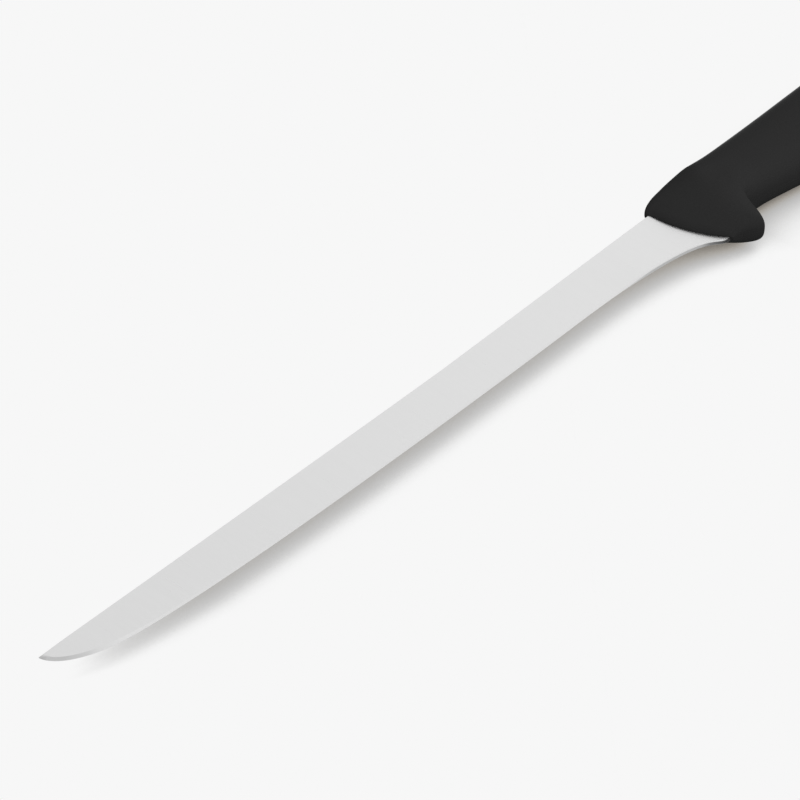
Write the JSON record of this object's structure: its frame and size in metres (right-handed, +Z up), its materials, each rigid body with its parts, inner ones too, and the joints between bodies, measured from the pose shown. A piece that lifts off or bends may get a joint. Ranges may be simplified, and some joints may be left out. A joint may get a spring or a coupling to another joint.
{
  "type": "ham knife",
  "caption": "Long narrow ham knife with a slightly raised tip, a flared heel and a black moulded plastic handle, lying on its side.",
  "frame": {"origin": "middle of the footprint, on the surface that the knife lies on", "axes": "+X from the tip towards the butt of the handle, +Y from the edge towards the spine, +Z up, square to the flank of the blade"},
  "size_m": [0.3768, 0.0328, 0.0164],
  "materials": {
    "blade_steel": "fine satin grind across the blade, brighter edge bevel",
    "handle_plastic": "finely textured black polypropylene"
  },
  "bodies": {
    "root": {"blade": "blade_steel", "handle": "handle_plastic"}
  },
  "joints": []
}
